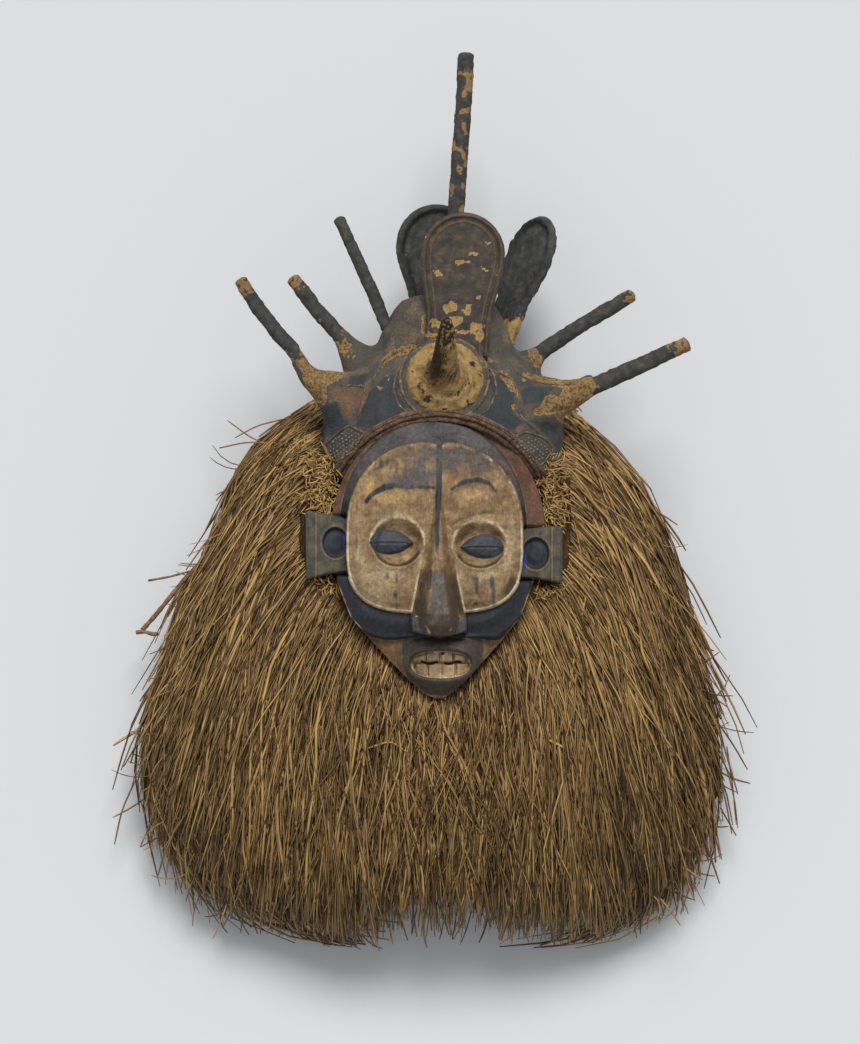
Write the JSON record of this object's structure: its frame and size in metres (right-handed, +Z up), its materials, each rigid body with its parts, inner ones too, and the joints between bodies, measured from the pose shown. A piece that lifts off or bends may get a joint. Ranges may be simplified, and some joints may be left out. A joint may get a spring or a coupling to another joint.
{
  "type": "ndeemba mask",
  "caption": "Initiation mask with a carved painted wooden face, cloth-covered crown with petals, horn and wrapped sticks, and a hollow raffia collar, lying on its back.",
  "frame": {"origin": "on the surface that the mask lies on, at the middle of its outline seen from above", "axes": "+Z is up, out of the face; +Y is toward the crown and the top stick, -Y toward the raffia's hem; +X is to the right as the face is looked at"},
  "size_m": [0.512, 0.7124, 0.2528],
  "materials": {
    "face_wood": "worn paint over wood: ochre face, blue-black bonnet and jaw, blue lids, pale edges",
    "crown_cloth": "cloth stiffened with resin, blue-black paint with flaked ochre patches, white dots and tan cord lines",
    "raffia": "dry split raffia fibre, brown to straw",
    "petal_cloth": "stiffened cloth, brown-black, flaked to ochre",
    "stick_wrap": "blue-black painted cloth wrapping, ochre where it has broken away",
    "horn_fibre": "frayed ochre fibre with dark resin traces"
  },
  "bodies": {
    "root": {"face": "face_wood", "crown": "crown_cloth", "raffia_collar": "raffia", "petal_front": "petal_cloth", "petal_left": "petal_cloth", "petal_right": "petal_cloth", "stick_top": "stick_wrap", "stick_left_outer": "stick_wrap", "stick_left_middle": "stick_wrap", "stick_left_inner": "stick_wrap", "stick_right_inner": "stick_wrap", "stick_right_outer": "stick_wrap", "brow_horn": "horn_fibre"}
  },
  "joints": []
}
